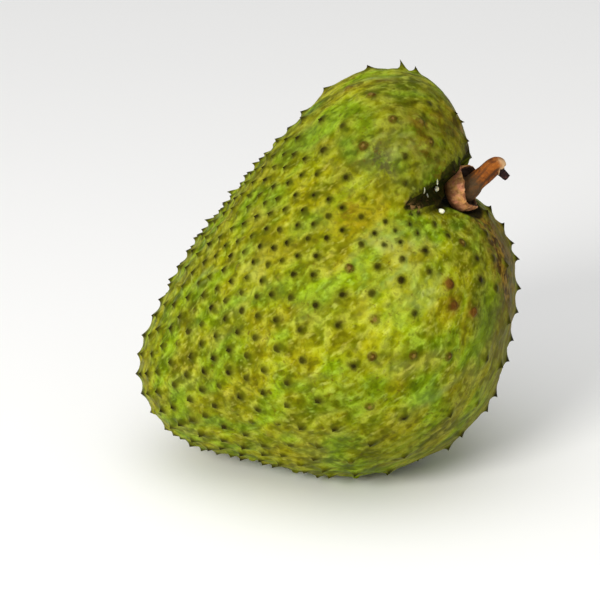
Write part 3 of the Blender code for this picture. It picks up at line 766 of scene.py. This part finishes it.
def skin_material():
    s = Shade("soursop_skin")
    node = s.tree.nodes.new("ShaderNodeAttribute")
    node.attribute_name = "grain"
    flow = node.outputs["Vector"]
    patch = s.noise(0.017, 3.0, 0.55, warp=0.5)
    cloud = s.noise(0.0068, 2.0, 0.50, vector=flow, warp=0.4)
    streak = s.noise(0.0029, 1.5, 0.45, vector=flow, warp=0.3)
    mottle = s.noise(0.0030, 1.5, 0.45)
    fine = s.noise(0.0013, 1.0, 0.50, vector=flow)
    speck = s.noise(0.0011, 1.0, 0.50)
    grain = s.noise(0.00045, 2.0, 0.6)

    colour = s.mix(s.ramp(patch, 0.38, 0.62), rgb(100, 109, 1), rgb(126, 127, 2))
    colour = s.mix(s.ramp(cloud, 0.44, 0.66, 0.0, 0.80), colour, rgb(155, 160, 12))
    colour = s.mix(s.ramp(cloud, 0.48, 0.30, 0.0, 0.70), colour, rgb(86, 92, 1))
    light = s.add(s.mul(streak, 0.46), s.mul(mottle, 0.54))
    colour = s.mix(s.ramp(light, 0.47, 0.67, 0.0, 0.78), colour, rgb(181, 190, 62))
    colour = s.mix(s.ramp(light, 0.52, 0.33, 0.0, 0.72), colour, rgb(76, 77, 1))
    colour = s.mix(s.ramp(fine, 0.52, 0.80, 0.0, 0.42), colour, rgb(200, 204, 96))
    colour = s.mix(s.ramp(speck, 0.50, 0.24, 0.0, 0.35), colour, rgb(62, 58, 2))
    # painted sheen: pale grey-green patches where the skin catches the light
    sheen_noise = s.noise(0.0095, 2.0, 0.55, vector=flow, warp=0.6)
    colour = s.mix(s.mul(s.ramp(sheen_noise, 0.50, 0.68), s.ramp(s.attr("painted_sheen"), 0.0, 1.0, 0.12, 0.55)),
                   colour, rgb(164, 174, 98))
    # the hue wanders between leaf green and olive
    hue = s.noise(0.0088, 1.5, 0.40, vector=flow, warp=0.6)
    hue2 = s.noise(0.014, 2.0, 0.5)
    drift = s.add(s.mul(hue, 0.55), s.mul(hue2, 0.45))
    greener = s.ramp(drift, 0.46, 0.61)
    browner = s.ramp(drift, 0.50, 0.37)
    colour = s.mix(s.mul(greener, 0.95), colour, (0.70, 0.99, 0.55, 1.0), "MULTIPLY")
    colour = s.mix(s.mul(browner, 0.75), colour, (1.0, 0.83, 0.6, 1.0), "MULTIPLY")
    # broad lighter and deeper parts of the fruit: a broad random darkening, deeper patches that are darker skin
    # with painted shade, and a painted pool of light on the front
    wide = s.noise(0.038, 1.0, 0.5)
    colour = s.mix(s.ramp(wide, 0.52, 0.70, 0.0, 0.6), colour, (0.78, 0.80, 0.7, 1.0), "MULTIPLY")
    colour = s.mix(s.attr("deep_and_shade"), colour, (0.60, 0.60, 0.5, 1.0), "MULTIPLY")
    colour = s.mix(s.attr("painted_light_patch"), colour, (1.34, 1.38, 1.5, 1.0), "MULTIPLY")

    # tints, with painted sheen among the pale streaks and painted shade on the right side
    colour = s.mix(s.mul(s.attr("yellowing"), s.ramp(mottle, 0.30, 0.62, 0.35, 1.0)), colour, rgb(162, 146, 14))
    # pale streaks, partly a painted sheen
    colour = s.mix(s.mul(s.attr("paling_and_sheen"), s.ramp(streak, 0.42, 0.62, 0.1, 0.8)), colour, rgb(178, 186, 104))
    # painted shade: the right side darkened
    colour = s.mix(s.mul(s.attr("shade_side"), s.ramp(cloud, 0.3, 0.7, 0.85, 0.45)), colour, rgb(88, 78, 3))
    colour = s.mix(s.mul(s.attr("groove"), s.ramp(mottle, 0.35, 0.65, 0.15, 0.6)), colour, rgb(70, 80, 4))
    colour = s.mix(s.mul(s.attr("areole"), s.ramp(mottle, 0.35, 0.65, 0.0, 0.35)), colour, rgb(160, 164, 44))
    brown = s.mul(s.attr("russet"), s.ramp(s.noise(0.0026, 4.0, 0.7, vector=flow, warp=0.6), 0.42, 0.58))
    colour = s.mix(s.mul(brown, 0.85), colour, rgb(98, 50, 10))
    scorch = s.mul(s.attr("scorch"), s.ramp(s.noise(0.0042, 2.0, 0.55, warp=0.4), 0.34, 0.52))
    burnt = s.mix(s.ramp(s.noise(0.0040, 2.0, 0.55), 0.44, 0.58), rgb(62, 34, 8), rgb(144, 112, 34))
    colour = s.mix(s.mul(scorch, 0.90), colour, burnt)
    grey = s.mul(s.attr("bruise"), s.ramp(s.noise(0.0036, 3.0, 0.65), 0.36, 0.58))
    colour = s.mix(s.mul(grey, 0.80), colour, rgb(66, 58, 36))
    # small brown flecks all over
    fleck = s.mul(s.ramp(s.noise(0.0019, 2.0, 0.5, warp=0.5), 0.58, 0.76), s.ramp(patch, 0.35, 0.60))
    colour = s.mix(s.mul(fleck, 0.60), colour, rgb(84, 58, 14))

    # each spine: an olive foot, then brown, then a brown-black tip
    ragged = s.add(s.mul(mottle, 0.7), s.mul(speck, 0.3))
    halo = s.mul(s.attr("near_spine"), s.ramp(ragged, 0.35, 0.62, 1.0, 0.35), s.ramp(s.attr("tone"), 0.0, 1.0, 0.45, 0.95))
    colour = s.mix(halo, colour, rgb(66, 72, 8))
    # spines on the right side are darkened further as painted shade
    edge = s.add(s.attr("spine"), s.ramp(ragged, 0.3, 0.7, -0.16, 0.16), s.mul(s.attr("shade_side"), s.attr("spine"), 0.5))
    colour = s.mix(s.ramp(edge, 0.10, 0.46, 0.0, 0.75), colour, rgb(62, 60, 6))
    colour = s.mix(s.mul(s.ramp(edge, 0.34, 0.70), s.ramp(s.attr("tone"), 0.0, 1.0, 0.50, 0.95)), colour, rgb(30, 25, 5))
    # snapped spines: a dark ring around a corky centre
    stub = s.add(s.attr("stub"), s.ramp(ragged, 0.3, 0.7, -0.22, 0.22))
    ring = s.mul(s.ramp(s.attr("tone"), 0.0, 1.0, 0.70, 1.0), s.attr("plain"))
    colour = s.mix(s.mul(s.ramp(stub, 0.05, 0.55), ring, s.ramp(speck, 0.30, 0.60, 0.95, 0.60)), colour, rgb(72, 46, 12))
    core = s.add(s.attr("crater"), s.ramp(ragged, 0.3, 0.7, -0.30, 0.30))
    whole = s.invert(s.attr("sore"))
    colour = s.mix(s.mul(s.ramp(core, 0.30, 0.80, 0.0, 0.80), s.attr("plain"), whole), colour, rgb(122, 98, 46))
    sore = s.ramp(s.add(s.attr("sore"), s.ramp(ragged, 0.3, 0.7, -0.30, 0.30)), 0.20, 0.95, 0.0, 0.75)
    colour = s.mix(sore, colour, s.mix(s.ramp(mottle, 0.42, 0.58), rgb(82, 42, 14), rgb(108, 68, 24)))
    # dirt and dead skin down the crease and in the pit, also darkened to near black there as painted shade, with a
    # painted shadow band beside the calyx
    dirt_and_shade = s.math("MAXIMUM", s.ramp(s.attr("crevice"), 0.10, 0.50), s.ramp(s.attr("pit"), 0.25, 0.9))
    smear_and_shade = s.add(s.attr("grime_and_shade"), s.ramp(ragged, 0.3, 0.7, -0.30, 0.30))
    dirt_and_shade = s.math("MAXIMUM", dirt_and_shade, s.ramp(smear_and_shade, 0.10, 0.70, 0.0, 0.95))
    # the near-black end of this colour is painted shade in the crease
    scurf = s.mix(s.ramp(s.noise(0.0020, 3.0, 0.7), 0.48, 0.66), rgb(10, 6, 5), rgb(42, 25, 12))
    colour = s.mix(s.mul(dirt_and_shade, 0.94), colour, scurf)
    crust = s.mul(s.attr("crust"), s.ramp(s.noise(0.0016, 3.0, 0.6, warp=0.5), 0.44, 0.60))
    colour = s.mix(s.mul(crust, 0.85), colour, rgb(140, 108, 66))

    rough = s.add(s.ramp(cloud, 0.3, 0.7, 0.46, 0.60), s.ramp(fine, 0.3, 0.7, -0.05, 0.07), s.mul(dirt_and_shade, 0.25))
    normal = s.bump(s.add(s.mul(mottle, 0.6), s.mul(fine, 0.35), s.mul(grain, 0.08)), 0.0005, 0.9)
    s.bsdf.inputs["Specular IOR Level"].default_value = 0.05
    s.bsdf.inputs["Specular Tint"].default_value = (0.95, 1.0, 0.35, 1.0)
    return s.done(colour, rough, normal)


def sap_material():
    s = Shade("dried_sap")
    cloud = s.noise(0.0009, 2.0, 0.5)
    colour = s.mix(s.ramp(cloud, 0.35, 0.65), rgb(236, 232, 186), rgb(250, 249, 226))
    colour = s.mix(s.mul(s.attr("drip"), s.ramp(cloud, 0.30, 0.70, 0.95, 0.55)), colour, rgb(126, 126, 98))
    s.bsdf.inputs["Subsurface Weight"].default_value = 0.25
    s.bsdf.inputs["Subsurface Radius"].default_value = (0.0010, 0.0008, 0.0004)
    s.bsdf.inputs["Subsurface Scale"].default_value = 1.0
    return s.done(colour, s.ramp(cloud, 0.3, 0.7, 0.22, 0.38), s.bump(cloud, 0.0002, 0.4))


def bark_material():
    s = Shade("stem_bark")
    along = s.attr("along")
    fibre = s.attr("fibre")
    blotch = s.noise(0.0042, 3.0, 0.6, warp=0.5)
    fine = s.noise(0.0010, 3.0, 0.65)
    colour = s.mix(s.ramp(blotch, 0.36, 0.62), rgb(82, 40, 6), rgb(140, 76, 16))
    colour = s.mix(s.ramp(fine, 0.50, 0.72, 0.0, 0.45), colour, rgb(182, 112, 44))
    colour = s.mix(s.ramp(fibre, 0.45, 0.10, 0.0, 0.75), colour, rgb(62, 36, 14))
    foot = s.mul(s.ramp(along, 0.50, 0.34), s.ramp(blotch, 0.25, 0.75, 1.0, 0.65))
    colour = s.mix(foot, colour, rgb(74, 58, 34))
    rim = s.attr("rim")
    colour = s.mix(s.mul(rim, s.ramp(fine, 0.30, 0.60, 0.7, 1.0)), colour, rgb(222, 182, 132))
    core = s.attr("core")
    colour = s.mix(core, colour, s.mix(s.ramp(fine, 0.50, 0.75), rgb(30, 14, 12), rgb(74, 40, 34)))
    normal = s.bump(s.add(s.mul(fine, 0.6), s.mul(s.noise(0.00035, 2.0, 0.6), 0.2)), 0.0005, 0.9)
    s.bsdf.inputs["Specular IOR Level"].default_value = 0.20
    return s.done(colour, s.ramp(fine, 0.3, 0.7, 0.62, 0.82), normal)


def husk_material():
    s = Shade("calyx_husk")
    fine = s.noise(0.0011, 3.0, 0.65)
    blotch = s.noise(0.0040, 3.0, 0.6, warp=0.4)
    tall = s.noise(0.0026, 3.0, 0.6, warp=0.6)
    colour = s.mix(s.ramp(blotch, 0.38, 0.62), rgb(204, 150, 82), rgb(206, 136, 100))
    colour = s.mix(s.ramp(fine, 0.50, 0.74, 0.0, 0.6), colour, rgb(226, 188, 122))
    colour = s.mix(s.ramp(tall, 0.48, 0.34, 0.0, 0.55), colour, rgb(132, 78, 40))
    colour = s.mix(s.ramp(s.attr("vein"), 0.55, 0.15, 0.0, 0.55), colour, rgb(96, 60, 28))
    # painted shade: the cup's inner face darkened
    colour = s.mix(s.ramp(s.attr("inside"), 0.2, 0.8), colour, rgb(58, 38, 22))
    low = s.add(s.attr("height"), s.ramp(tall, 0.3, 0.7, 0.14, -0.14))
    colour = s.mix(s.ramp(low, 0.52, 0.10, 0.0, 0.85), colour, rgb(92, 58, 28))
    colour = s.mix(s.ramp(low, 0.92, 1.08, 0.0, 0.6), colour, rgb(112, 66, 34))
    normal = s.bump(s.add(s.mul(fine, 0.6), s.mul(s.noise(0.0004, 2.0, 0.6), 0.25)), 0.0004, 0.9)
    s.bsdf.inputs["Specular IOR Level"].default_value = 0.22
    return s.done(colour, s.ramp(fine, 0.3, 0.7, 0.60, 0.80), normal)


# =====================================================================  stem
def smooth_path(points, steps):
    p = [np.array(q, float) for q in points]
    p = [2 * p[0] - p[1]] + p + [2 * p[-1] - p[-2]]
    out = []
    for i in range(1, len(p) - 2):
        for k in range(steps):
            t = k / steps
            out.append(0.5 * (2 * p[i] + (p[i + 1] - p[i - 1]) * t
                              + (2 * p[i - 1] - 5 * p[i] + 4 * p[i + 1] - p[i + 2]) * t * t
                              + (3 * p[i] - p[i - 1] - 3 * p[i + 1] + p[i + 2]) * t ** 3))
    out.append(p[-2])
    return np.array(out)


def grid_mesh(name, rows, close_ends=True):
    """A tube from rows of points (rows x around), its ends closed to a point."""
    count, around = rows.shape[:2]
    verts = rows.reshape(-1, 3)
    faces = []
    for i in range(count - 1):
        for j in range(around):
            k = (j + 1) % around
            faces.append((i * around + j, i * around + k, (i + 1) * around + k, (i + 1) * around + j))
    if close_ends:
        verts = np.concatenate((verts, rows[0].mean(0)[None], rows[-1].mean(0)[None]))
        a, b = len(verts) - 2, len(verts) - 1
        for j in range(around):
            k = (j + 1) % around
            faces.append((a, k, j))
            faces.append((b, (count - 1) * around + j, (count - 1) * around + k))
    mesh = bpy.data.meshes.new(name)
    mesh.from_pydata(verts.tolist(), [], faces)
    bm = bmesh.new()
    bm.from_mesh(mesh)
    bmesh.ops.recalc_face_normals(bm, faces=bm.faces)
    if bm.calc_volume(signed=True) < 0:
        bmesh.ops.reverse_faces(bm, faces=bm.faces)
    bm.to_mesh(mesh)
    bm.free()
    mesh.shade_smooth()
    return mesh


def make_stem():
    steps = 12
    path = smooth_path(STEM_PATH, steps)
    centre = np.array(SEAT) + unit(SEAT_AXIS) * GAP + path[:, :3] / 1000.0
    radius = path[:, 3] / 1000.0
    tangent = np.gradient(centre, axis=0)
    tangent /= np.linalg.norm(tangent, axis=1)[:, None]
    length = np.concatenate(((0,), np.cumsum(np.linalg.norm(np.diff(centre, axis=0), axis=1))))
    s = length / length[-1]
    side = unit(np.cross(tangent[0], (0, 1, 0)))
    around = 72
    a = 2 * math.pi * np.arange(around) / around
    # the bark sleeve ends at TEAR; a thinner dark core goes on to the broken end
    tear = float(np.interp(16.75, path[:, 0], s))
    rows, extra = [], []
    order = list(range(len(s)))
    for i in order:
        side = side - (side @ tangent[i]) * tangent[i]
        side /= np.linalg.norm(side)
        up = np.cross(tangent[i], side)
        ring = np.cos(a)[:, None] * side + np.sin(a)[:, None] * up
        # ridges run along the stem, wandering a little around it
        twist = a + 1.2 * s[i]
        key = np.stack((np.cos(twist) * 1.0, np.sin(twist) * 1.0, np.full(around, s[i] * 0.9)), 1)
        ridge = lattice_noise(key, 0.26, 11) + 0.5 * lattice_noise(key, 0.13, 12)
        lump = lattice_noise(centre[i] + ring * radius[i], 0.0030, 13)
        torn = tear + 0.022 * lattice_noise(key * np.array((1, 1, 0)), 0.55, 14) + 0.012 * np.sin(5 * a)
        sleeve = 1 - step(-0.006, 0.012, s[i] - torn)
        r = radius[i] * (1 + 0.045 * ridge + 0.05 * lump)
        lip = np.exp(-((s[i] - torn + 0.022) / 0.020) ** 2)
        r = r * (1 + 0.05 * lip)
        core = np.minimum(radius[i] * 0.98, 0.0019) * (1 + 0.10 * lump + 0.05 * ridge)
        r = core + (r - core) * sleeve
        if i == 0:
            r = r * 0.985
        rows.append(centre[i] + ring * r[:, None])
        extra.append(np.stack((np.full(around, s[i]), 0.5 + 0.5 * np.clip(ridge, -1, 1),
                               np.exp(-((s[i] - torn + 0.012) / 0.026) ** 2),
                               1 - (1 - step(0.0, 0.014, s[i] - torn))), 1))
    rows = np.array(rows)
    extra = np.array(extra)
    # ragged broken end: pull the last rings in and hollow the middle
    last = rows[-1].mean(0)
    jag = 0.0004 * lattice_noise(rows[-1], 0.0009, 15)
    rows[-1] += tangent[-1] * jag[:, None]
    inner = last + (rows[-1] - last) * 0.62 - tangent[-1] * 0.0002
    core_ring = last + (rows[-1] - last) * 0.30 - tangent[-1] * 0.0007
    rows = np.concatenate((rows, inner[None], core_ring[None]))
    extra = np.concatenate((extra, extra[-1:], extra[-1:]))
    mesh = grid_mesh("stem_bark_fine", rows)
    flat = extra.reshape(-1, 4)
    flat = np.concatenate((flat, flat[:1], flat[-1:]))
    for k, name in enumerate(("along", "fibre", "rim", "core")):
        attribute(mesh, name, flat[:, k])
    stem = bpy.data.objects.new("stem_bark_fine", mesh)
    scene.collection.objects.link(stem)
    return stem


# =====================================================================  calyx
def make_calyx():
    d, w = CUP_DEPTH, CUP_WALL
    profile = np.array(((CUP_HOLE, 0.0), (CUP_FOOT, 0.0), (CUP_FOOT + 0.0012, 0.25 * d),
                        (0.5 * (CUP_FOOT + CUP_RIM) + 0.0010, 0.60 * d), (CUP_RIM, d),
                        (CUP_RIM - 0.6 * w, d + 0.3 * w), (CUP_RIM - w, 0.93 * d),
                        (CUP_FOOT - 0.0002, 0.72 * d), (CUP_HOLE, 0.64 * d)))
    closed = np.concatenate((profile, profile[:1]))
    fine = []
    for i in range(len(profile)):
        n = 7
        for k in range(n):
            fine.append(closed[i] + (closed[i + 1] - closed[i]) * k / n)
    fine = np.array(fine)
    for _ in range(6):                      # round the turned profile's corners
        keep = fine.copy()
        fine = 0.5 * fine + 0.25 * (np.roll(fine, 1, 0) + np.roll(fine, -1, 0))
        fine[:8] = keep[:8]
    around = 150
    a = 2 * math.pi * np.arange(around) / around
    count = len(fine)
    verts = np.zeros((count, around, 3))
    info = np.zeros((count, around, 3))
    middle = int(7 * 4.9)
    for i, (r, z) in enumerate(fine):
        rise = max(z - 0.25 * d, 0.0) / d
        lobe = 0.5 + 0.5 * np.cos(3 * (a - 0.6))
        turn = (a - NOTCH_AT + math.pi) % (2 * math.pi) - math.pi
        zz = z + d * rise * (0.34 * lobe - 0.16 - NOTCH_DEEP * np.exp(-(turn / NOTCH_WIDE) ** 2))
        grow = np.where(r > CUP_HOLE + 0.0001, 1 + rise * (0.07 * lobe - 0.03), 1.0)
        rr = r * grow
        key = np.stack((np.cos(a), np.sin(a), np.full(around, z / d * 0.35)), 1)
        wrinkle = lattice_noise(key, 0.20, 21) + 0.6 * lattice_noise(key, 0.10, 22)
        ragged = lattice_noise(key * np.array((1, 1, 0)), 0.11, 23)
        soft = step(0.06 * d, 0.3 * d, np.full(around, z))
        if r > CUP_HOLE + 0.0001:
            rr = rr + 0.00022 * wrinkle * soft
        zz = zz + 0.00025 * ragged * step(0.6, 1.0, z / d)
        verts[i] = np.stack((rr * np.cos(a), rr * np.sin(a), zz), 1)
        inside = 1.0 if i > middle else 0.0
        info[i] = np.stack((0.5 + 0.5 * np.clip(wrinkle, -1, 1), np.full(around, inside),
                            np.full(around, z / d)), 1)
    faces = []
    for i in range(count):
        n = (i + 1) % count
        for j in range(around):
            k = (j + 1) % around
            faces.append((i * around + j, i * around + k, n * around + k, n * around + j))
    mesh = bpy.data.meshes.new("calyx_husk_fine")
    mesh.from_pydata(verts.reshape(-1, 3).tolist(), [], faces)
    bm = bmesh.new()
    bm.from_mesh(mesh)
    bmesh.ops.recalc_face_normals(bm, faces=bm.faces)
    if bm.calc_volume(signed=True) < 0:
        bmesh.ops.reverse_faces(bm, faces=bm.faces)
    bm.to_mesh(mesh)
    bm.free()
    mesh.shade_smooth()
    flat = info.reshape(-1, 3)
    for k, name in enumerate(("vein", "inside", "height")):
        attribute(mesh, name, flat[:, k])
    calyx = bpy.data.objects.new("calyx_husk_fine", mesh)
    axis = Vector(SEAT_AXIS).normalized()
    calyx.rotation_euler = axis.to_track_quat("Z", "Y").to_euler()
    calyx.location = Vector(SEAT) + axis * GAP
    scene.collection.objects.link(calyx)
    bpy.context.view_layer.update()
    mesh.transform(calyx.matrix_world)
    calyx.matrix_world.identity()
    calyx.location = (0, 0, 0)
    calyx.rotation_euler = (0, 0, 0)
    return calyx


fruit = make_fruit()
fruit.data.materials.append(skin_material())
stem = make_stem()
stem.data.materials.append(bark_material())
calyx = make_calyx()
calyx.data.materials.append(husk_material())

sap = make_sap()
sap.data.materials.append(sap_material())
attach(sap, "root")

for piece, node, slot in ((fruit, "fruit", "fruit_skin"), (stem, "stem", "stem_bark"),
                          (calyx, "calyx", "calyx_husk")):
    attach(piece, "root")
    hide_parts(node)

# =====================================================================  stage
bm = bmesh.new()
bmesh.ops.create_grid(bm, x_segments=1, y_segments=1, size=3.0)
floor_mesh = bpy.data.meshes.new("floor")
bm.to_mesh(floor_mesh)
bm.free()
floor = bpy.data.objects.new("floor", floor_mesh)
floor.location = (0, 0, -0.0002)
scene.collection.objects.link(floor)
paper = Shade("floor_paper")
paper.done(paper.mix(paper.noise(0.3, 2.0), (0.93, 0.93, 0.925, 1), (0.95, 0.95, 0.945, 1)), 0.9)
floor.data.materials.append(paper.material)

world = bpy.data.worlds.new("studio")
world.use_nodes = True
world.node_tree.nodes["Background"].inputs["Color"].default_value = (1.0, 1.0, 1.0, 1)
world.node_tree.nodes["Background"].inputs["Strength"].default_value = 0.40
scene.world = world


def softbox(name, place, size, watts, tint=(1, 1, 1)):
    light = bpy.data.lights.new(name, "AREA")
    light.shape = "DISK"
    light.size = size
    light.energy = watts
    light.color = tint
    lamp = bpy.data.objects.new(name, light)
    scene.collection.objects.link(lamp)
    lamp.location = place
    lamp.rotation_euler = (Vector((0, 0, 0.07)) - Vector(place)).to_track_quat("-Z", "Y").to_euler()
    return lamp


softbox("key", (-0.62, -1.02, 0.66), 0.50, 14.0, (1.0, 0.985, 0.95))
sky = bpy.data.lights.new("overhead", "SUN")
sky.energy = 1.1
sky.angle = math.radians(70)
overhead = bpy.data.objects.new("overhead", sky)
overhead.rotation_euler = (math.radians(12), math.radians(-8), 0)
scene.collection.objects.link(overhead)
softbox("fill", (0.95, -0.7, 0.45), 0.8, 0.8)
